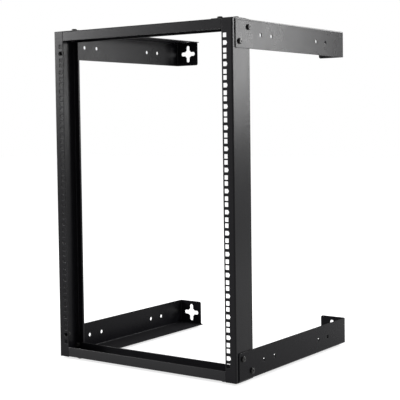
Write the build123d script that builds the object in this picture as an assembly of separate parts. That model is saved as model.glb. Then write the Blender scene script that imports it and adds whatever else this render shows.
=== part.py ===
"""Open wall mount rack, 16 units high, for 19 inch equipment.

Two bent steel posts carry the square equipment holes. Two channels join them at the top and
bottom, and four long arms reach back to the wall, where each ends in a flange with a cross
shaped screw hole. Everything is held by low headed bolts and hexagon nuts.

Millimetres. +Z is up, +X is to the right seen from the front, and +Y runs back to the wall.
The origin is on the floor, below the middle of the rack.
"""
import os
from build123d import *

# Equipment standard: unit height, hole heights in one unit, clear width and hole columns
UNITS = 16
UNIT_HEIGHT = 44.45
UNIT_HOLE_HEIGHTS = (6.35, 22.225, 38.1)
CLEAR_WIDTH = 450.8
HOLE_COLUMN_INSET = 7.15  # hole column from the inner edge of the post's front flange
SQUARE_HOLE = 9.5
MARK_DEPTH = 1.8          # bulge on the outer side of the middle hole of each unit
MARK_HEIGHT = 6.4

# Whole frame
END_MARGIN = 31.4         # post beyond the equipment space, at the top and at the bottom
DEPTH = 490.0             # front face of the posts to the wall

# Posts
POST_SHEET = 2.0
POST_DEPTH = 68.0
FRONT_FLANGE = 27.1
REAR_FLANGE = 19.5
RETURN_LIP = 7.0
BEND = 3.0                # outer radius of the bends in posts and channels
FLANGE_END_GAP = 1.5      # front flange stops short of the folded end tab
TAB_SETBACK = 12.0        # tab behind the front face
TAB_REAR_INSET = 4.0      # tab stops short of the channel's rear face
TAB_REACH = 64.0          # tab from the outer face of the post inwards
TAB_CORNER = 5.0
RELIEF = 1.5              # slot beside a fold

# Top and bottom channels
CHANNEL_SHEET = 2.0
CHANNEL_DEPTH = 60.0
CHANNEL_FLANGE = 22.5
CHANNEL_GAP = 0.6         # seam between the channel's front flange and the post's
TONGUE_GAP = 1.5          # end of the web from the inside of the post
REAR_FLANGE_GAP = 12.5    # end of the rear flange from the inside of the post, clear of nuts

# Arms
ARM_SHEET = 2.0
ARM_HEIGHT = 62.5
ARM_SETBACK = 10.0        # front edge behind the front face of the posts
ARM_END_INSET = 2.0       # outer edge below the top, or above the bottom, of the post
ARM_BEND = 4.0
ARM_LIP = 73.0
ARM_LIP_START = 4.0       # lip begins this far behind the post
ARM_FLANGE = 68.0
ARM_FLANGE_CORNER = 5.0
ARM_PLATE_CORNER = 3.0
SIDE_HOLE = 9.0
SIDE_HOLE_FIRST = 108.0   # first side hole behind the front face of the posts
SIDE_HOLE_PAIR = 44.45
SIDE_HOLE_PAIR_STEP = 245.0
CROSS_HOLE_LENGTH = 45.0
CROSS_HOLE_WIDTH = 10.5
CROSS_HOLE_CENTRE = 22.0
CROSS_HOLE_INSET = 37.0   # centre of the cross hole from the arm's outer face

# Bolts and nuts
BOLT = 6.0
BOLT_LENGTH = 12.0
BOLT_CLEARANCE = 0.3      # round the shank in its holes
NUT_CLEARANCE = 0.1
HEAD = 12.5
HEAD_HEIGHT = 4.0
NUT_FLATS = 10.0
NUT_HEIGHT = 5.0
ARM_BOLTS_BACK = (24.5, 59.0)    # front and rear bolt behind the front face of the posts
ARM_BOLTS_EDGE = (14.0, 17.0)    # front bolt from the arm's inner edge, rear one from its outer edge
TAB_BOLTS_BACK = (22.0, CHANNEL_DEPTH - 14.0)    # behind the front face of the posts
TAB_BOLTS_IN = (45.0, 20.0)                      # in from the outer face of the post

# Places worked out from the sizes above
FRONT_Y = -DEPTH / 2
WALL_Y = DEPTH / 2
POST_X = CLEAR_WIDTH / 2 + FRONT_FLANGE
HOLE_COLUMN_X = CLEAR_WIDTH / 2 + HOLE_COLUMN_INSET
WEB_X = POST_X - POST_SHEET
POST_REAR_Y = FRONT_Y + POST_DEPTH
POST_BOTTOM = HEAD_HEIGHT
POST_HEIGHT = UNITS * UNIT_HEIGHT + 2 * END_MARGIN
POST_TOP = POST_BOTTOM + POST_HEIGHT
MIDDLE_Z = POST_BOTTOM + POST_HEIGHT / 2
UNITS_BOTTOM = POST_BOTTOM + END_MARGIN
CHANNEL_TOP = POST_TOP - POST_SHEET
ARM_X = POST_X + ARM_SHEET
ARM_TOP = POST_TOP - ARM_END_INSET
ARM_FRONT_Y = FRONT_Y + ARM_SETBACK
LIP_FRONT_Y = POST_REAR_Y + ARM_LIP_START
CROSS_HOLE_Z = ARM_TOP - ARM_HEIGHT / 2
ARM_BOLTS_Z = (ARM_TOP - ARM_HEIGHT + ARM_BOLTS_EDGE[0], ARM_TOP - ARM_BOLTS_EDGE[1])
ARM_BOLTS = tuple(zip(ARM_BOLTS_BACK, ARM_BOLTS_Z))
TAB_WIDTH = CHANNEL_DEPTH - TAB_SETBACK - TAB_REAR_INSET
TAB_BOLTS = tuple(zip(TAB_BOLTS_BACK, TAB_BOLTS_IN))
BOLT_HOLE = BOLT + 2 * BOLT_CLEARANCE
MIDDLE_PLANE = Plane.XY.offset(MIDDLE_Z)


def bent_section(plane, outer_line, sheet, radius):
    """Face of a sheet bent square on a plane: its outer side runs along outer_line, turning left."""
    corners = [Vector(*point) for point in outer_line]
    inwards = [(end - start).normalized().rotate(Axis.Z, 90) * sheet
               for start, end in zip(corners, corners[1:])]
    steps = [inwards[0], *(a + b for a, b in zip(inwards, inwards[1:])), inwards[-1]]
    inner_corners = [corner + step for corner, step in zip(corners, steps)]
    outer = FilletPolyline(*corners, radius=radius)
    inner = FilletPolyline(*inner_corners, radius=radius - sheet)
    ends = [Line(corners[i], inner_corners[i]) for i in (0, -1)]
    return plane * make_face([edge for line in (outer, inner, *ends) for edge in line.edges()])


def block(x_range, y_range, z_range):
    """Box between two corners."""
    low = Vector(x_range[0], y_range[0], z_range[0])
    size = Vector(x_range[1], y_range[1], z_range[1]) - low
    return Pos(low + size * 0.5) * Box(size.X, size.Y, size.Z)


def drill(x, y, z, diameter, axis, length):
    """Round cutter centred on a point, along a named axis."""
    turn = {"x": Rot(0, 90, 0), "y": Rot(90, 0, 0), "z": Rot(0, 0, 0)}[axis]
    return Pos(x, y, z) * turn * Cylinder(diameter / 2, length)


def equipment_holes():
    """Cutters for the square holes of the right post, the middle one of each unit marked."""
    side = SQUARE_HOLE / 2
    square = Rectangle(SQUARE_HOLE, SQUARE_HOLE)
    bulge = make_face([
        *ThreePointArc((side, -MARK_HEIGHT / 2), (side + MARK_DEPTH, 0),
                       (side, MARK_HEIGHT / 2)).edges(),
        *Line((side, MARK_HEIGHT / 2), (side, -MARK_HEIGHT / 2)).edges(),
    ])
    plain, marked = square, square + bulge
    shapes = (plain, marked, plain)
    face = Plane(origin=(HOLE_COLUMN_X, FRONT_Y + 2 * POST_SHEET, 0), x_dir=(1, 0, 0),
                 z_dir=(0, -1, 0))
    cutters = []
    for unit in range(UNITS):
        for height, shape in zip(UNIT_HOLE_HEIGHTS, shapes):
            z = UNITS_BOTTOM + unit * UNIT_HEIGHT + height
            cutters.append(extrude(face * Pos(0, z) * shape, 3 * POST_SHEET))
    return cutters


def end_tab():
    """Top end of the right post's web, folded inwards over the channel."""
    stub = 2 * BEND + RELIEF
    line = ((POST_X, POST_TOP - stub), (POST_X, POST_TOP), (POST_X - TAB_REACH, POST_TOP))
    across = Plane(origin=(0, FRONT_Y + TAB_SETBACK, 0), x_dir=(1, 0, 0), z_dir=(0, -1, 0))
    tab = extrude(bent_section(across, line, POST_SHEET, BEND), -TAB_WIDTH)
    free_edge = tab.edges().filter_by(Axis.Z).sort_by(Axis.X)[:2]
    tab = fillet(free_edge, TAB_CORNER)
    return tab - [drill(POST_X - inset, FRONT_Y + back, POST_TOP, BOLT_HOLE, "z", 4 * POST_SHEET)
                  for back, inset in TAB_BOLTS]


def right_post():
    """Lipped channel with square holes down its front and a folded tab at each end."""
    line = ((CLEAR_WIDTH / 2, FRONT_Y), (POST_X, FRONT_Y), (POST_X, POST_REAR_Y),
            (POST_X - REAR_FLANGE, POST_REAR_Y),
            (POST_X - REAR_FLANGE, POST_REAR_Y - RETURN_LIP))
    section = bent_section(Plane.XY, line, POST_SHEET, BEND)
    post = Pos(0, 0, POST_BOTTOM + FLANGE_END_GAP) * extrude(section,
                                                             POST_HEIGHT - 2 * FLANGE_END_GAP)
    post -= equipment_holes()
    tab = end_tab()
    tab_front = FRONT_Y + TAB_SETBACK
    fold_low = POST_TOP - 2 * BEND
    notch = block((WEB_X - BEND, POST_X + BEND), (tab_front - RELIEF, tab_front + TAB_WIDTH + RELIEF),
                  (fold_low, POST_TOP + BEND))
    for at_bottom in (False, True):
        cut = mirror(notch, about=MIDDLE_PLANE) if at_bottom else notch
        fold = mirror(tab, about=MIDDLE_PLANE) if at_bottom else tab
        post = post - cut + fold
        for back, z in ARM_BOLTS:
            height = 2 * MIDDLE_Z - z if at_bottom else z
            post -= drill(POST_X, FRONT_Y + back, height, BOLT_HOLE, "x", 4 * POST_SHEET)
    return post


def top_channel():
    """Channel open downwards, its web under the posts' tabs and its front flange between them."""
    line = ((FRONT_Y + CHANNEL_DEPTH, CHANNEL_TOP - CHANNEL_FLANGE),
            (FRONT_Y + CHANNEL_DEPTH, CHANNEL_TOP), (FRONT_Y, CHANNEL_TOP),
            (FRONT_Y, CHANNEL_TOP - CHANNEL_FLANGE))
    half = WEB_X - TONGUE_GAP
    across = Plane(origin=(-half, 0, 0), x_dir=(0, 1, 0), z_dir=(1, 0, 0))
    channel = extrude(bent_section(across, line, CHANNEL_SHEET, BEND), 2 * half)
    front_end = CLEAR_WIDTH / 2 - CHANNEL_GAP
    rear_end = WEB_X - REAR_FLANGE_GAP
    low = CHANNEL_TOP - CHANNEL_FLANGE - BEND
    for side in (-1, 1):
        channel -= block(sorted((side * front_end, side * POST_X)),
                         (FRONT_Y - BEND, FRONT_Y + POST_SHEET + RELIEF),
                         (low, CHANNEL_TOP + BEND))
        channel -= block(sorted((side * rear_end, side * POST_X)),
                         (FRONT_Y + CHANNEL_DEPTH - BEND, FRONT_Y + CHANNEL_DEPTH + BEND),
                         (low, CHANNEL_TOP + BEND))
        channel -= [drill(side * (POST_X - inset), FRONT_Y + back, CHANNEL_TOP, BOLT_HOLE, "z",
                          4 * CHANNEL_SHEET) for back, inset in TAB_BOLTS]
    return channel


def cross_hole():
    """Cutter for the wall screw: two crossed slots with a larger round hole at their middle."""
    slot = SlotOverall(CROSS_HOLE_LENGTH, CROSS_HOLE_WIDTH)
    outline = slot + Rot(0, 0, 90) * slot + Circle(CROSS_HOLE_CENTRE / 2)
    face = Plane(origin=(ARM_X - CROSS_HOLE_INSET, WALL_Y + ARM_SHEET, CROSS_HOLE_Z),
                 x_dir=(1, 0, 0), z_dir=(0, -1, 0))
    return extrude(face * outline, 3 * ARM_SHEET)


def arm_mass(inset, past=0.0):
    """Block that fills the arm's folds, its closed sides moved inwards and its open ones past the edge."""
    mass = block((ARM_X - ARM_LIP - past, ARM_X - inset), (ARM_FRONT_Y - past, WALL_Y - inset),
                 (ARM_TOP - ARM_HEIGHT - past, ARM_TOP - inset))
    outer_edges = mass.faces().sort_by(Axis.X)[-1].edges()
    folds = [outer_edges.sort_by(Axis.Z)[-1], outer_edges.sort_by(Axis.Y)[-1]]
    return fillet(folds, ARM_BEND - inset)


def arm_blank():
    """Side plate with its long lip and its wall flange, welded where they meet, before any holes."""
    past = ARM_BEND
    lip_side = ARM_X - ARM_LIP - past
    blank = arm_mass(0) - arm_mass(ARM_SHEET, past)
    blank -= block((lip_side, ARM_X - ARM_SHEET), (ARM_FRONT_Y - past, LIP_FRONT_Y),
                   (ARM_TOP - ARM_BEND - RELIEF, ARM_TOP + past))
    return blank - block((lip_side, ARM_X - ARM_FLANGE), (WALL_Y - ARM_BEND, WALL_Y + past),
                         (ARM_TOP - ARM_HEIGHT - past, ARM_TOP - ARM_SHEET))


def upper_right_arm():
    """Arm bolted outside the post, with side holes and the wall screw hole."""
    arm = arm_blank()
    low = ARM_TOP - ARM_HEIGHT
    arm -= cross_hole()
    for first in (SIDE_HOLE_FIRST, SIDE_HOLE_FIRST + SIDE_HOLE_PAIR_STEP):
        for back in (first, first + SIDE_HOLE_PAIR):
            arm -= drill(ARM_X, FRONT_Y + back, CROSS_HOLE_Z, SIDE_HOLE, "x", 4 * ARM_SHEET)
    for back, z in ARM_BOLTS:
        arm -= drill(ARM_X, FRONT_Y + back, z, BOLT_HOLE, "x", 4 * ARM_SHEET)
    flange_corner = arm.edges().filter_by(Axis.Y).filter_by_position(
        Axis.X, ARM_X - ARM_FLANGE - 0.1, ARM_X - ARM_FLANGE + 0.1).sort_by(Axis.Z)[0]
    arm = fillet(flange_corner, ARM_FLANGE_CORNER)
    plate_corner = arm.edges().filter_by(Axis.X).filter_by_position(
        Axis.Y, ARM_FRONT_Y - 0.1, ARM_FRONT_Y + 0.1).filter_by_position(Axis.Z, low - 0.1, low + 0.1)
    return fillet(plate_corner, ARM_PLATE_CORNER)


def bolt():
    """Plain low headed bolt with its seat at the origin, head up and shank down."""
    head = Pos(0, 0, HEAD_HEIGHT / 2) * Cylinder(HEAD / 2, HEAD_HEIGHT)
    return head + Pos(0, 0, -BOLT_LENGTH / 2) * Cylinder(BOLT / 2, BOLT_LENGTH)


def nut(grip):
    """Hexagon nut on the same axis as a bolt, against the far side of the sheets it grips."""
    hexagon = RegularPolygon(NUT_FLATS / 2, 6, major_radius=False) - Circle(BOLT / 2 + NUT_CLEARANCE)
    return Pos(0, 0, -grip - NUT_HEIGHT) * extrude(hexagon, NUT_HEIGHT)


def fasteners():
    """Bolts and nuts of the upper right quarter: name, place of the bolt seat, and solid."""
    found = {}
    out_of_side = Rot(0, 90, 0)
    for place, (back, z) in zip(("front", "rear"), ARM_BOLTS):
        seat = Pos(ARM_X, FRONT_Y + back, z) * out_of_side
        found[f"arm_bolt_{place}"] = seat * bolt()
        found[f"arm_nut_{place}"] = seat * nut(ARM_SHEET + POST_SHEET)
    for place, (back, inset) in zip(("front", "rear"), TAB_BOLTS):
        seat = Pos(POST_X - inset, FRONT_Y + back, POST_TOP)
        found[f"corner_bolt_{place}"] = seat * bolt()
        found[f"corner_nut_{place}"] = seat * nut(POST_SHEET + CHANNEL_SHEET)
    return found


def place_quarter(shape, level, side):
    """Copy of an upper right piece for one quarter of the rack."""
    if level == "lower":
        shape = mirror(shape, about=MIDDLE_PLANE)
    if side == "left":
        shape = mirror(shape, about=Plane.YZ)
    return shape


def rack():
    """Every piece of the rack by name."""
    post = right_post()
    channel = top_channel()
    pieces = {
        "right_post": post,
        "left_post": mirror(post, about=Plane.YZ),
        "top_channel": channel,
        "bottom_channel": mirror(channel, about=MIDDLE_PLANE),
    }
    quarter = {"arm": upper_right_arm(), **fasteners()}
    for level in ("upper", "lower"):
        for side in ("left", "right"):
            for name, shape in quarter.items():
                pieces[f"{level}_{side}_{name}"] = place_quarter(shape, level, side)
    return pieces


os.makedirs("parts", exist_ok=True)
for node, shape in rack().items():
    export_step(shape, f"parts/{node}.step")
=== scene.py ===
"""Looks of an open wall mount rack: black powder coat, socket bolts, nuts and a pale studio.

Lengths are metres in the rack's own frame: +Z up, +X right seen from the front, +Y to the wall.
The folded sheet pieces keep their shape and are coated here. Bolts and nuts are made anew as
stacks of rings with threads, sockets and chamfers, each at the place of the plain one.
"""

import logging
import math
from dataclasses import dataclass
from enum import Enum

import bpy
import numpy as np
from mathutils import Matrix, Vector


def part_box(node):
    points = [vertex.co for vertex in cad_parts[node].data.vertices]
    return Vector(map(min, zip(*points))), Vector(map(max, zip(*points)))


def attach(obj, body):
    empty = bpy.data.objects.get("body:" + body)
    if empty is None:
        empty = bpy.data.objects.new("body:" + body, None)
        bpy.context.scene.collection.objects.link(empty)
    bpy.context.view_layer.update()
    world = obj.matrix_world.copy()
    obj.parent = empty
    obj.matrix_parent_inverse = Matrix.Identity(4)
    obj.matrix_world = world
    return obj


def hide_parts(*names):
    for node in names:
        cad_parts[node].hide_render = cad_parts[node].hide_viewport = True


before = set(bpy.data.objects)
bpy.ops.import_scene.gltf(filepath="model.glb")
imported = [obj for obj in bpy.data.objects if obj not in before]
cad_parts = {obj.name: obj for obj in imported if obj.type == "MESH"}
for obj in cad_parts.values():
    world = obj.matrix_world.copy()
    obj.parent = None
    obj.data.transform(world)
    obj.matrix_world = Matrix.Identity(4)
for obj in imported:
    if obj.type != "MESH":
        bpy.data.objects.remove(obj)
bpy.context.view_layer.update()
MM = 0.001
FULL_TURN = 2 * math.pi
LOG = logging.getLogger("rack")

# Red, green, blue and alpha, as linear shares of white.
Colour = tuple[float, float, float, float]

# Low and high end of a range.
Band = tuple[float, float]

# Range in which nearly all values of a cloudy pattern lie.
USUAL: Band = (0.3, 0.7)


class Slot(Enum):
    """Material slots of the fasteners that are made here, as the rack's record names them."""

    BOLT = "bolt"
    NUT = "nut"


class Quarter(Enum):
    """The four corners of the rack, as their pieces' names begin."""

    UPPER_LEFT = "upper_left"
    UPPER_RIGHT = "upper_right"
    LOWER_LEFT = "lower_left"
    LOWER_RIGHT = "lower_right"


class Joint(Enum):
    """What a bolt holds: an arm to its post, or a channel to a post's folded tab."""

    ARM = "arm"
    CORNER = "corner"


class Place(Enum):
    """Which of a joint's two bolts."""

    FRONT = "front"
    REAR = "rear"


@dataclass(frozen=True)
class Cloud:
    """A cloudy pattern: the size of one cloud in metres, and its octaves of finer clouds."""

    size: float
    octaves: float


class Shader:
    """Small writer of one node tree, so that a finish reads as a list of steps."""

    # Cosines between the rounded and the flat normal: away from an edge, and on one.
    edge_cosines: Band = (0.995, 0.80)
    edge_samples: int = 6

    def __init__(self, tree: bpy.types.NodeTree) -> None:
        """Starts with an empty tree.

        Args:
            tree: node tree of a material or a world.
        """
        self.tree = tree
        self.tree.nodes.clear()

    def add(self, kind: str, **inputs: object) -> bpy.types.Node:
        """Adds a node.

        Args:
            kind: node type without its ShaderNode prefix.
            inputs: values or output sockets by input name, with _ for a space, and attributes
                of the node itself by their lower case name.

        Returns:
            The new node.
        """
        node = self.tree.nodes.new("ShaderNode" + kind)
        attributes = {name: value for name, value in inputs.items() if name[0].islower()}
        for name, value in attributes.items():
            setattr(node, name, value)
        for name, value in inputs.items():
            if name not in attributes:
                self.feed(node.inputs[name.replace("_", " ")], value)
        return node

    def feed(self, socket: bpy.types.NodeSocket, value: object) -> None:
        """Links an output to a socket, or sets the socket's own value.

        Args:
            socket: input to fill.
            value: an output socket, a number, a colour or a vector.
        """
        if isinstance(value, bpy.types.NodeSocket):
            self.tree.links.new(value, socket)
        else:
            socket.default_value = value

    def noise(self, where: bpy.types.NodeSocket, cloud: Cloud) -> bpy.types.NodeSocket:
        """Cloudy pattern between 0 and 1.

        Args:
            where: coordinates in metres.
            cloud: the pattern's size and octaves.

        Returns:
            The pattern.
        """
        pattern = self.add("TexNoise", Vector=where, Scale=1 / cloud.size, Detail=cloud.octaves)
        return pattern.outputs["Fac"]

    def span(self, value: bpy.types.NodeSocket, source: Band, target: Band) -> bpy.types.NodeSocket:
        """Moves a value from one range to another, held within the new one.

        Args:
            value: what to move.
            source: range that it is read in.
            target: range that it is written in.

        Returns:
            The moved value.
        """
        node = self.add("MapRange", Value=value, From_Min=source[0], From_Max=source[1],
                        To_Min=target[0], To_Max=target[1])
        return node.outputs["Result"]

    def maths(self, operation: str, first: object, second: object = 0.0) -> bpy.types.NodeSocket:
        """Sum, product or other function of one or two values.

        Args:
            operation: name of the Math node's operation.
            first: first value or socket.
            second: second value or socket.

        Returns:
            The result.
        """
        node = self.add("Math", operation=operation)
        self.feed(node.inputs[0], first)
        self.feed(node.inputs[1], second)
        return node.outputs[0]

    def tint(self, factor: object, first: object, second: object) -> bpy.types.NodeSocket:
        """Blend of two colours.

        Args:
            factor: share of the second colour.
            first: first colour.
            second: second colour.

        Returns:
            The blended colour.
        """
        node = self.add("Mix", data_type="RGBA")
        self.feed(node.inputs["Factor"], factor)
        self.feed(node.inputs["A"], first)
        self.feed(node.inputs["B"], second)
        return node.outputs["Result"]

    def object_place(self) -> bpy.types.NodeSocket:
        """Coordinates on the piece, in metres."""
        return self.add("TexCoord").outputs["Object"]

    def edge_share(self, rounding: float) -> tuple[bpy.types.NodeSocket, bpy.types.NodeSocket]:
        """Finds edges by comparing the rounded normal with the flat one.

        Args:
            rounding: radius of the rounding in metres.

        Returns:
            The rounded normal, and a share that is 1 on an edge and 0 away from it.
        """
        bevel = self.add("Bevel", samples=self.edge_samples, Radius=rounding).outputs["Normal"]
        flat = self.add("NewGeometry").outputs["True Normal"]
        alike = self.add("VectorMath", operation="DOT_PRODUCT")
        self.feed(alike.inputs[0], bevel)
        self.feed(alike.inputs[1], flat)
        return bevel, self.span(alike.outputs["Value"], self.edge_cosines, (0.0, 1.0))


def grey(level: float, warmth: float = 0.0) -> Colour:
    """Grey, neutral or slightly warm.

    Args:
        level: linear brightness.
        warmth: share added to red and taken from blue.

    Returns:
        Red, green, blue and alpha.
    """
    return (level * (1 + warmth), level, level * (1 - warmth), 1.0)


@dataclass(frozen=True)
class PowderCoat:
    """Satin black powder coat: a fine peel, worn and shinier on edges, dusty on level faces."""

    name: str
    # Linear brightness of the coat, its share of drift, and the tint of red, green and blue.
    level: float = 0.006
    level_drift: float = 0.14
    tint: tuple[float, float, float] = (1.03, 1.0, 1.2)
    drift: Cloud = Cloud(0.09, 3.0)
    # Gloss: the drift, the marks of handling and the edges move the roughness by these amounts.
    roughness: float = 0.3
    specular: float = 0.1
    drift_roughness: float = 0.01
    handling: Cloud = Cloud(0.022, 5.0)
    handling_roughness: float = 0.012
    edge_gloss: float = 0.08
    # Wear along the edges: their width, and where the pattern lets the wear through.
    edge: float = 0.0014
    worn_level: float = 0.022
    wear: float = 0.45
    chips: Cloud = Cloud(0.004, 4.0)
    chip_band: Band = (0.48, 0.66)
    chip_share: Band = (0.25, 1.0)
    # Dust on faces that look up, by the upward part of the normal.
    dust: float = 0.008
    dust_level: float = 0.32
    dust_warmth: float = 0.06
    dust_slope: Band = (0.6, 1.0)
    dust_cloud: Cloud = Cloud(0.015, 4.0)
    dust_band: Band = (0.35, 0.7)
    dust_share: Band = (0.3, 1.0)
    dull_slope: Band = (0.94, 0.995)
    dusted_roughness: float = 0.8
    # Relief in metres: the peel and a finer grain.
    peel: Cloud = Cloud(0.0017, 1.5)
    grain: Cloud = Cloud(0.0007, 2.0)
    grain_share: float = 0.35
    relief: float = 0.00017
    relief_strength: float = 0.6

    def shade(self, level: float) -> Colour:
        """Gives a level of brightness the coat's slightly cool tint.

        Args:
            level: linear brightness.

        Returns:
            Red, green, blue and alpha.
        """
        red, green, blue = (level * share for share in self.tint)
        return (red, green, blue, 1.0)

    def colour(self, shader: Shader, where: bpy.types.NodeSocket, drift: bpy.types.NodeSocket,
               edge: bpy.types.NodeSocket, upward: bpy.types.NodeSocket) -> bpy.types.NodeSocket:
        """Colour of the coat.

        It is the base level, drifting over a hand's width, mixed to the worn level along edges
        where a small pattern lets it through, and to dust on faces that look up.

        Args:
            shader: tree that the nodes are added to.
            where: coordinates on the piece.
            drift: slow pattern.
            edge: share that is 1 on an edge.
            upward: upward part of the normal.

        Returns:
            The colour.
        """
        dark = self.shade(self.level * (1 - self.level_drift))
        pale = self.shade(self.level * (1 + self.level_drift))
        chipped = shader.span(shader.noise(where, self.chips), self.chip_band, self.chip_share)
        worn = shader.maths("MULTIPLY", shader.maths("MULTIPLY", edge, chipped), self.wear)
        coat = shader.tint(worn, shader.tint(drift, dark, pale), grey(self.worn_level))
        patches = shader.span(shader.noise(where, self.dust_cloud), self.dust_band, self.dust_share)
        lying = shader.span(upward, self.dust_slope, (0.0, self.dust))
        dust = grey(self.dust_level, self.dust_warmth)
        return shader.tint(shader.maths("MULTIPLY", lying, patches), coat, dust)

    def rough(self, shader: Shader, where: bpy.types.NodeSocket, drift: bpy.types.NodeSocket,
              edge: bpy.types.NodeSocket, upward: bpy.types.NodeSocket) -> bpy.types.NodeSocket:
        """Roughness of the coat.

        It is the base roughness plus two patterns, less a part on edges. On level faces it is at
        least that of settled dust.

        Args:
            shader: tree that the nodes are added to.
            where: coordinates on the piece.
            drift: slow pattern.
            edge: share that is 1 on an edge.
            upward: upward part of the normal.

        Returns:
            The roughness.
        """
        handled = shader.span(shader.noise(where, self.handling), USUAL,
                              (-self.handling_roughness, self.handling_roughness))
        drifted = shader.span(drift, USUAL, (self.roughness - self.drift_roughness,
                                             self.roughness + self.drift_roughness))
        bare = shader.maths("SUBTRACT", shader.maths("ADD", drifted, handled),
                            shader.maths("MULTIPLY", edge, self.edge_gloss))
        dusted = shader.span(upward, self.dull_slope, (0.0, self.dusted_roughness))
        return shader.maths("MAXIMUM", bare, dusted)

    def material(self) -> bpy.types.Material:
        """Makes the coat.

        The bump is the sum of the peel and the grain, on a normal that is rounded at the edges.

        Returns:
            The material.
        """
        made = bpy.data.materials.new(self.name)
        made.use_nodes = True
        shader = Shader(made.node_tree)
        where = shader.object_place()
        rounded, edge = shader.edge_share(self.edge)
        drift = shader.noise(where, self.drift)
        normal = shader.add("NewGeometry").outputs["Normal"]
        upward = shader.add("SeparateXYZ", Vector=normal).outputs["Z"]
        fine = shader.maths("MULTIPLY", shader.noise(where, self.grain), self.grain_share)
        height = shader.maths("ADD", shader.noise(where, self.peel), fine)
        bump = shader.add("Bump", Height=height, Strength=self.relief_strength,
                          Distance=self.relief, Normal=rounded)
        surface = shader.add("BsdfPrincipled",
                             Base_Color=self.colour(shader, where, drift, edge, upward),
                             Roughness=self.rough(shader, where, drift, edge, upward),
                             Normal=bump.outputs["Normal"])
        surface.inputs["Specular IOR Level"].default_value = self.specular
        shader.add("OutputMaterial", Surface=surface.outputs["BSDF"])
        return made


@dataclass(frozen=True)
class BlackOxide:
    """Black oxide on a steel fastener: dark semi-gloss metal, rubbed brighter on its edges."""

    name: str
    # Linear brightness, its darkest and palest share in the mottle, and the warmth of the palest.
    level: float = 0.012
    dark_share: float = 0.6
    pale_share: float = 1.5
    warmth: float = 0.03
    mottle: Cloud = Cloud(0.0022, 4.0)
    # Gloss, and how far the mottle lowers and raises the roughness.
    roughness: float = 0.30
    smoother: float = 0.06
    rougher: float = 0.08
    metallic: float = 0.40
    specular: float = 0.26
    # Rubbed edges: their width, and where the mottle lets them through.
    edge: float = 0.00025
    rubbed_level: float = 0.06
    rubbed_warmth: float = 0.02
    rubbed_band: Band = (0.4, 0.65)
    rubbed_share: Band = (0.1, 0.7)
    # Relief in metres.
    grain: Cloud = Cloud(0.0004, 2.0)
    relief: float = 0.00001
    relief_strength: float = 0.4

    def material(self) -> bpy.types.Material:
        """Makes the finish.

        The colour is the base level with a small mottle, mixed to the rubbed level on edges. The
        roughness follows the mottle, and the bump is a fine grain on edge rounded normals.

        Returns:
            The material.
        """
        made = bpy.data.materials.new(self.name)
        made.use_nodes = True
        shader = Shader(made.node_tree)
        where = shader.object_place()
        rounded, edge = shader.edge_share(self.edge)
        mottle = shader.noise(where, self.mottle)
        base = shader.tint(mottle, grey(self.level * self.dark_share),
                           grey(self.level * self.pale_share, self.warmth))
        let_through = shader.span(mottle, self.rubbed_band, self.rubbed_share)
        rubbed = shader.maths("MULTIPLY", edge, let_through)
        colour = shader.tint(rubbed, base, grey(self.rubbed_level, self.rubbed_warmth))
        rough = shader.span(mottle, USUAL,
                            (self.roughness - self.smoother, self.roughness + self.rougher))
        bump = shader.add("Bump", Height=shader.noise(where, self.grain),
                          Strength=self.relief_strength, Distance=self.relief, Normal=rounded)
        surface = shader.add("BsdfPrincipled", Base_Color=colour, Roughness=rough,
                             Normal=bump.outputs["Normal"])
        surface.inputs["Metallic"].default_value = self.metallic
        surface.inputs["Specular IOR Level"].default_value = self.specular
        shader.add("OutputMaterial", Surface=surface.outputs["BSDF"])
        return made


@dataclass(frozen=True)
class FloorPaper:
    """White studio paper that reads as pure white where no shadow falls on it."""

    name: str = "floor_paper"
    # Brightness of the sheet, and the light that it gives off where it is seen.
    level: float = 0.50
    lift: float = 0.72
    roughness: float = 0.6
    fibre: Cloud = Cloud(0.006, 4.0)
    fibre_share: Band = (0.985, 1.0)

    def material(self) -> bpy.types.Material:
        """Makes the paper.

        A matt white sheet takes the shadow. Seen by the camera or in a reflection, it also gives
        off a little light of its own, which lifts the unshadowed sheet to white.

        Returns:
            The material.
        """
        made = bpy.data.materials.new(self.name)
        made.use_nodes = True
        shader = Shader(made.node_tree)
        where = shader.object_place()
        fibre = shader.span(shader.noise(where, self.fibre), USUAL, self.fibre_share)
        colour = shader.tint(fibre, grey(0.0), grey(self.level))
        sheet = shader.add("BsdfDiffuse", Color=colour, Roughness=self.roughness)
        lift = shader.add("Emission", Color=grey(1.0),
                          Strength=shader.maths("MULTIPLY", background_share(shader), self.lift))
        total = shader.add("AddShader")
        shader.feed(total.inputs[0], sheet.outputs["BSDF"])
        shader.feed(total.inputs[1], lift.outputs["Emission"])
        shader.add("OutputMaterial", Surface=total.outputs["Shader"])
        return made


def background_share(shader: Shader) -> bpy.types.NodeSocket:
    """Share of rays that see the background: from the camera, a glossy or a clear surface.

    Args:
        shader: tree that the nodes are added to.

    Returns:
        1 for those rays and 0 for the others.
    """
    path = shader.add("LightPath")
    seen = shader.maths("MAXIMUM", path.outputs["Is Camera Ray"], path.outputs["Is Glossy Ray"])
    return shader.maths("MAXIMUM", seen, path.outputs["Is Transmission Ray"])


def dress(piece: bpy.types.Object, material: bpy.types.Material) -> None:
    """Puts one material on every slot of a piece.

    Args:
        piece: object to coat.
        material: its finish.
    """
    if not piece.material_slots:
        piece.data.materials.append(None)
    for slot in piece.material_slots:
        slot.material = material


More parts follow.
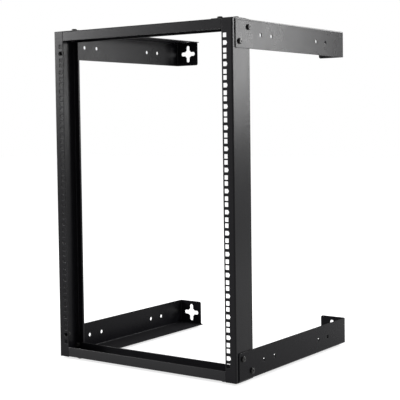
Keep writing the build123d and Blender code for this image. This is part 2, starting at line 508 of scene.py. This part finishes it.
def join_rings(name: str, rings: np.ndarray, tips: tuple[np.ndarray, np.ndarray] | None,
               sharp: float = math.radians(28)) -> bpy.types.Mesh:
    """Closed mesh over a stack of rings.

    Each ring is joined to the next by quads that run once round. With tips, the first and last
    ring are closed by a fan to a point. Without, the last ring is joined to the first.

    Args:
        name: name of the mesh.
        rings: points, as rings by sides by 3, each ring turning left about the stack's direction.
        tips: first and last point, or None.
        sharp: angle between two faces from which their edge is sharp.

    Returns:
        The mesh, smooth but for its edges.
    """
    count, sides, _ = rings.shape
    here = np.arange(count * sides).reshape(count, sides)
    right = np.roll(here, -1, axis=1)
    if tips is None:
        above, above_right = np.roll(here, -1, axis=0), np.roll(right, -1, axis=0)
        lower, lower_right = here, right
    else:
        above, above_right = here[1:], right[1:]
        lower, lower_right = here[:-1], right[:-1]
    faces = np.stack([lower, lower_right, above_right, above], axis=-1).reshape(-1, 4).tolist()
    points = rings.reshape(-1, 3)
    if tips is not None:
        first = np.full(sides, len(points))
        faces += np.stack([first, right[0], here[0]], axis=-1).tolist()
        faces += np.stack([first + 1, here[-1], right[-1]], axis=-1).tolist()
        points = np.vstack([points, *tips])
    mesh = bpy.data.meshes.new(name)
    mesh.from_pydata(points.tolist(), [], faces)
    mesh.polygons.foreach_set("use_smooth", np.ones(len(mesh.polygons), bool))
    mesh.set_sharp_from_angle(angle=sharp)
    mesh.update()
    return mesh


def around(sides: int) -> np.ndarray:
    """Directions of a ring's points, in equal steps once round, as a row."""
    return np.linspace(0, FULL_TURN, sides, endpoint=False)[None, :]


def polar(radii: np.ndarray, angle: np.ndarray, heights: np.ndarray) -> np.ndarray:
    """Points of a stack of rings: radius times cosine, radius times sine, and height.

    Args:
        radii: distances from the axis, by ring and direction.
        angle: directions in radians, as a row.
        heights: heights along the axis, by ring and direction.

    Returns:
        Points, as rings by directions by 3.
    """
    return np.stack([radii * np.cos(angle), radii * np.sin(angle), heights], axis=-1)


def hexagon(angle: np.ndarray, flats: float) -> np.ndarray:
    """Radius of a hexagon: half its flats over the cosine of the angle to the nearest flat.

    Args:
        angle: direction in radians, 0 at the middle of a flat.
        flats: distance between two flats.

    Returns:
        Distance from the axis to the outline.
    """
    sixth = FULL_TURN / 6
    return flats / 2 / np.cos((angle + sixth / 2) % sixth - sixth / 2)


@dataclass(frozen=True)
class Seat:
    """Where a fastener sits: a point on its axis, the axis, and the way that a flat faces."""

    origin: Vector
    axis: Vector
    flat: Vector

    def place(self, local: np.ndarray) -> np.ndarray:
        """Moves points from the fastener's own frame into the rack's.

        Args:
            local: points in millimetres, axis last.

        Returns:
            Points in metres: origin plus the three directions weighted by the coordinates.
        """
        third = self.axis.cross(self.flat)
        turn = np.array([self.flat, third, self.axis])
        return np.array(self.origin) + local @ turn * MM


@dataclass(frozen=True)
class Fastener:
    """What bolts and nuts share: their plain node's name, the way they point and their seat."""

    quarter: Quarter
    joint: Joint
    place: Place

    def node(self, kind: str) -> str:
        """Name of the plain node that a piece stands for."""
        return f"{self.quarter.value}_{self.joint.value}_{kind}_{self.place.value}"

    def outward(self) -> Vector:
        """Direction of the bolt's head: sideways out of an arm, up or down out of a corner."""
        right = self.quarter in (Quarter.UPPER_RIGHT, Quarter.LOWER_RIGHT)
        upper = self.quarter in (Quarter.UPPER_LEFT, Quarter.UPPER_RIGHT)
        if self.joint is Joint.ARM:
            return Vector((1 if right else -1, 0, 0))
        return Vector((0, 0, 1 if upper else -1))

    def seat(self, kind: str, height: float) -> Seat:
        """Finds the seat from the plain node's box.

        Args:
            kind: bolt or nut.
            height: millimetres from the node's outer end down to the seat plane.

        Returns:
            The seat, on the axis of the node.
        """
        low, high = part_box(self.node(kind))
        axis = self.outward()
        middle = (low + high) / 2
        half = abs((high - low).dot(axis)) / 2
        return Seat(middle + axis * (half - height * MM), axis, Vector((0, 1, 0)))


@dataclass(frozen=True)
class SocketBolt(Fastener):
    """Socket bolt of 6 mm with a low dome, a hexagon socket and a cut thread at its tip.

    Sizes are in millimetres, and heights are counted from the underside of the head.
    """

    shank: float = 6.0
    length: float = 12.0
    neck: float = 0.5
    # Chamfer of the tip: how far each of its two rings lies inside the shank, and its height.
    tip_insets: tuple[float, float] = (0.75, 0.45)
    tip_rise: float = 0.25
    # Thread: where its rings start and end above the tip, and how its groove fades.
    pitch: float = 1.0
    rings_per_pitch: int = 10
    thread_depth: float = 0.55
    thread_start: float = 0.45
    thread_length: float = 4.6
    groove_start: float = 0.3
    fade_in: float = 0.6
    fade_out: float = 0.8
    # Head: its width and height, the rim and the flat land round the socket.
    head: float = 12.5
    head_height: float = 4.0
    rim: float = 2.3
    rim_round: float = 0.35
    rim_rings: int = 6
    dome_rings: int = 12
    land: float = 6.4
    # Socket: its flats and depth, and how far its round mouth lies outside and below the land.
    socket: float = 3.5
    socket_depth: float = 1.8
    mouth_margin: float = 0.48
    mouth_drop: float = 0.02
    # Its hexagons, as shares of the flats: two below the top, two at the floor with its point.
    hex_shares: tuple[float, ...] = (1.03, 1.0, 1.0, 0.86)
    hex_drops: tuple[float, float] = (0.14, 0.3)
    floor_rise: float = 0.12
    drill_point: float = 0.35
    sides: int = 48

    def profile(self) -> tuple[np.ndarray, np.ndarray]:
        """Radius and height of the turned outline, from the tip to the socket's mouth.

        The dome is a quarter ellipse from the rim to the flat land round the socket, and the rim
        is rounded by a quarter circle.

        Returns:
            Radii and heights in millimetres.
        """
        radius, wide, inner = self.shank / 2, self.head / 2, self.land / 2
        rows = int(self.thread_length / self.pitch * self.rings_per_pitch)
        thread = np.linspace(self.thread_start, self.thread_length, rows) - self.length
        turn = np.linspace(0, FULL_TURN / 4, self.rim_rings)
        rise = np.linspace(0, FULL_TURN / 4, self.dome_rings)
        rim_r = wide - self.rim_round * (1 - np.sin(turn))
        rim_z = self.rim_round * (1 - np.cos(turn))
        dome_r = inner + (wide - inner) * np.cos(rise)
        dome_z = self.rim + (self.head_height - self.rim) * np.sin(rise)
        radii = np.concatenate([radius - np.array(self.tip_insets), np.full(rows, radius),
                                [radius, radius], rim_r, dome_r,
                                [self.socket / 2 + self.mouth_margin]])
        heights = np.concatenate([[-self.length, -self.length + self.tip_rise], thread,
                                  [-self.neck, 0.0], rim_z, dome_z,
                                  [self.head_height - self.mouth_drop]])
        return radii, heights

    def thread(self, heights: np.ndarray, angle: np.ndarray) -> np.ndarray:
        """Depth of the thread's groove.

        A triangle wave of the height in pitches less the turn, so that the groove climbs one
        pitch for each turn. It fades in above the tip and out at the end of the thread.

        Args:
            heights: heights in millimetres, as a column.
            angle: directions in radians, as a row.

        Returns:
            Depth by height and direction.
        """
        phase = (heights / self.pitch - angle / FULL_TURN) % 1.0
        wave = 1 - np.abs(2 * phase - 1)
        start, end = -self.length + self.groove_start, -self.length + self.thread_length
        fade = (np.clip((heights - start) / self.fade_in, 0, 1)
                * np.clip((end - heights) / self.fade_out, 0, 1))
        return self.thread_depth * wave * fade

    def build(self, material: bpy.types.Material) -> bpy.types.Object:
        """Makes the bolt in its place.

        The rings follow the profile, less the thread's depth. The socket's rings are hexagons,
        which run from its chamfered mouth to its floor.

        Args:
            material: finish of the bolt.

        Returns:
            The bolt.
        """
        angle = around(self.sides)
        radii, heights = self.profile()
        turned = radii[:, None] - self.thread(heights[:, None], angle)
        top, floor = self.head_height, self.head_height - self.socket_depth
        hexes = np.array(self.hex_shares)[:, None] * hexagon(angle, self.socket)
        hex_heights = np.array([top - self.hex_drops[0], top - self.hex_drops[1],
                                floor + self.floor_rise, floor])
        all_radii = np.vstack([turned, hexes])
        all_heights = np.concatenate([heights, hex_heights])[:, None] + np.zeros_like(angle)
        seat = self.seat("bolt", self.head_height)
        tips = tuple(seat.place(np.array([[0.0, 0.0, z]]))
                     for z in (-self.length, floor - self.drill_point))
        name = f"{self.node('bolt')}_turned"
        rings = seat.place(polar(all_radii, angle, all_heights))
        piece = bpy.data.objects.new(name, join_rings(name, rings, tips))
        return settle(piece, material, self.node("bolt"))


@dataclass(frozen=True)
class HexagonNut(Fastener):
    """Hexagon nut with both faces chamfered and a countersunk bore. Sizes are in millimetres."""

    flats: float = 10.0
    height: float = 5.0
    bore: float = 6.1
    mouth: float = 6.8
    face: float = 9.4
    chamfer_slope: float = math.tan(math.radians(30))
    # Rings: close together in the chamfered band at each face, and few on the flats between.
    chamfer_band: float = 0.72
    chamfer_rings: int = 8
    flat_start: float = 1.2
    flat_rings: int = 4
    sides: int = 72

    def build(self, material: bpy.types.Material) -> bpy.types.Object:
        """Makes the nut in its place.

        The outer rings are the hexagon, held within a cone that opens from each face at thirty
        degrees, which leaves the curved edges of a real nut. The inner rings are the bore with
        its two countersinks, and the last ring is joined to the first.

        Args:
            material: finish of the nut.

        Returns:
            The nut.
        """
        angle = around(self.sides)
        band = np.linspace(0, self.chamfer_band, self.chamfer_rings)
        flat = np.linspace(self.flat_start, self.height - self.flat_start, self.flat_rings)
        rise = np.concatenate([band, flat, self.height - band[::-1]])[:, None]
        depth = np.minimum(rise, self.height - rise)
        cone = self.face / 2 + depth / self.chamfer_slope
        outer = np.minimum(hexagon(angle, self.flats), cone)
        sink = (self.mouth - self.bore) / 2
        inner = np.array([self.mouth, self.bore, self.bore, self.mouth])[:, None] / 2
        inner_rise = np.array([self.height, self.height - sink, sink, 0.0])[:, None]
        radii = np.vstack([outer, inner + np.zeros_like(angle)])
        heights = np.vstack([rise, inner_rise]) + np.zeros_like(angle)
        seat = self.seat("nut", self.height)
        name = f"{self.node('nut')}_cut"
        rings = seat.place(polar(radii, angle, heights))
        piece = bpy.data.objects.new(name, join_rings(name, rings, None))
        return settle(piece, material, self.node("nut"))


def settle(piece: bpy.types.Object, material: bpy.types.Material, node: str) -> bpy.types.Object:
    """Coats a new piece, hangs it on the rack and lets it stand for its plain node.

    Args:
        piece: the new piece, in its place.
        material: its finish.
        node: plain node that it replaces.

    Returns:
        The piece.
    """
    bpy.context.scene.collection.objects.link(piece)
    dress(piece, material)
    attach(piece, "root")
    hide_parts(node)
    return piece


@dataclass(frozen=True)
class SheetFrame:
    """The folded sheet pieces: two posts, two channels and four arms.

    The coats are one powder coat whose specular level is set piece by piece: raised on the
    channels as painted sheen, most on the bottom one, and lowered on the arms as painted shade,
    most on the lower ones. The arms are also a little smoother.
    """

    post: PowderCoat = PowderCoat("post_coat")
    # Specular level raised a little: painted sheen on the top channel.
    channel: PowderCoat = PowderCoat("channel_coat", specular=0.115)
    # Specular level raised further: painted sheen on the bottom channel.
    sheen_painted_channel: PowderCoat = PowderCoat("sheen_painted_channel_coat", specular=0.22)
    # Specular level lowered: painted shade on the upper arms.
    arm: PowderCoat = PowderCoat("arm_coat", roughness=0.28, specular=0.085)
    # Specular level lowered further: painted shade on the lower arms.
    shade_painted_arm: PowderCoat = PowderCoat("shade_painted_arm_coat", roughness=0.28, specular=0.05)

    def build(self) -> list[bpy.types.Object]:
        """Coats each sheet piece.

        Returns:
            The pieces.
        """
        groups = {
            self.post: ["left_post", "right_post"],
            self.channel: ["top_channel"],
            self.sheen_painted_channel: ["bottom_channel"],
            self.arm: ["upper_left_arm", "upper_right_arm"],
            self.shade_painted_arm: ["lower_left_arm", "lower_right_arm"],
        }
        coated = []
        for coat, names in groups.items():
            material = coat.material()
            for name in names:
                dress(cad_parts[name], material)
                coated.append(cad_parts[name])
        return coated


@dataclass(frozen=True)
class Fasteners:
    """All bolts and nuts: two of each at every arm and at every corner."""

    bolt_finish: BlackOxide = BlackOxide("bolt_oxide")
    nut_finish: BlackOxide = BlackOxide("nut_oxide", level=0.014, roughness=0.34)

    def build(self) -> list[bpy.types.Object]:
        """Makes every bolt and nut.

        Returns:
            The pieces.
        """
        bolt, nut = self.bolt_finish.material(), self.nut_finish.material()
        made = []
        for quarter in Quarter:
            for joint in Joint:
                for place in Place:
                    made.append(SocketBolt(quarter, joint, place).build(bolt))
                    made.append(HexagonNut(quarter, joint, place).build(nut))
        return made


@dataclass(frozen=True)
class Softbox:
    """One soft lamp of the studio: an oblong of even light, aimed at the middle of the rack."""

    name: str
    place: tuple[float, float, float]
    size: tuple[float, float]
    watts: float
    aim: tuple[float, float, float] = (0.0, 0.0, 0.4)

    def build(self) -> bpy.types.Object:
        """Makes the lamp, turned to its aim.

        Returns:
            The lamp.
        """
        data = bpy.data.lights.new(self.name, "AREA")
        data.shape = "RECTANGLE"
        data.size, data.size_y = self.size
        data.energy = self.watts
        lamp = bpy.data.objects.new(self.name, data)
        lamp.location = self.place
        line = Vector(self.aim) - Vector(self.place)
        lamp.rotation_euler = line.to_track_quat("-Z", "Y").to_euler()
        lamp.visible_camera = False
        bpy.context.scene.collection.objects.link(lamp)
        return lamp


@dataclass(frozen=True)
class Viewpoint:
    """The camera: its place in metres, its turn in degrees, and its lens in millimetres."""

    place: tuple[float, float, float] = (1.4543, -2.0512, 0.5564)
    yaw: float = 35.9136
    pitch: float = 2.6790
    roll: float = -0.7857
    focal: float = 93.456
    sensor: float = 36.0
    shift: tuple[float, float] = (0.0185, -0.0700)

    def build(self) -> bpy.types.Object:
        """Makes the camera.

        It starts level along +Y, turns left by the yaw, down by the pitch, and about its own
        line of sight by the roll.

        Returns:
            The camera.
        """
        data = bpy.data.cameras.new("viewpoint")
        data.sensor_width = self.sensor
        data.lens = self.focal
        data.shift_x, data.shift_y = self.shift
        camera = bpy.data.objects.new("viewpoint", data)
        turn = (Matrix.Rotation(math.radians(self.yaw), 4, "Z")
                @ Matrix.Rotation(math.radians(90 - self.pitch), 4, "X")
                @ Matrix.Rotation(math.radians(self.roll), 4, "Z"))
        camera.matrix_world = Matrix.Translation(self.place) @ turn
        bpy.context.scene.collection.objects.link(camera)
        bpy.context.scene.camera = camera
        return camera


@dataclass(frozen=True)
class Studio:
    """White paper floor, white surroundings, three soft lamps and the camera."""

    paper: FloorPaper = FloorPaper()
    # Half the floor's width in metres, its grid lines each way, and the world's light.
    floor_half: float = 12.0
    floor_lines: int = 9
    fill: float = 0.65
    lamps: tuple[Softbox, ...] = (
        Softbox("lamp_front_left", (-2.198, -1.812, 1.241), (0.52, 0.97), 71.3),
        Softbox("lamp_back_right", (1.320, 1.188, 0.843), (0.60, 0.50), 21.2),
        Softbox("lamp_back_high", (0.600, 1.847, 1.811), (0.90, 0.90), 30.5),
    )
    viewpoint: Viewpoint = Viewpoint()

    def floor(self) -> bpy.types.Object:
        """Makes the floor sheet: a square grid at height zero.

        Returns:
            The floor.
        """
        step = np.linspace(-self.floor_half, self.floor_half, self.floor_lines)
        across, along = np.meshgrid(step, step)
        points = np.stack([across, along, np.zeros_like(across)], axis=-1).reshape(-1, 3)
        index = np.arange(len(points)).reshape(len(step), len(step))
        corners = [index[:-1, :-1], index[:-1, 1:], index[1:, 1:], index[1:, :-1]]
        faces = np.stack(corners, axis=-1).reshape(-1, 4)
        mesh = bpy.data.meshes.new("floor")
        mesh.from_pydata(points.tolist(), [], faces.tolist())
        sheet = bpy.data.objects.new("floor", mesh)
        bpy.context.scene.collection.objects.link(sheet)
        dress(sheet, self.paper.material())
        return sheet

    def surroundings(self) -> None:
        """Makes the world: white where it is seen or mirrored, and a softer fill elsewhere."""
        world = bpy.data.worlds.new("studio")
        world.use_nodes = True
        shader = Shader(world.node_tree)
        seen = background_share(shader)
        strength = shader.span(seen, (0.0, 1.0), (self.fill, 1.0))
        light = shader.add("Background", Color=grey(1.0), Strength=strength)
        shader.add("OutputWorld", Surface=light.outputs["Background"])
        bpy.context.scene.world = world

    def build(self) -> None:
        """Makes the floor, the world, the lamps and the camera."""
        self.floor()
        self.surroundings()
        for lamp in self.lamps:
            lamp.build()
        self.viewpoint.build()
        bpy.context.scene.view_settings.view_transform = "Standard"


def main() -> None:
    """Builds the rack's looks and the studio in order, and reports each piece."""
    logging.basicConfig(level=logging.INFO, format="%(name)s %(message)s")
    for piece in SheetFrame().build() + Fasteners().build():
        finish = piece.material_slots[0].material.name
        LOG.info("%s: %d faces, %s", piece.name, len(piece.data.polygons), finish)
    Studio().build()


if __name__ == "__main__":
    main()
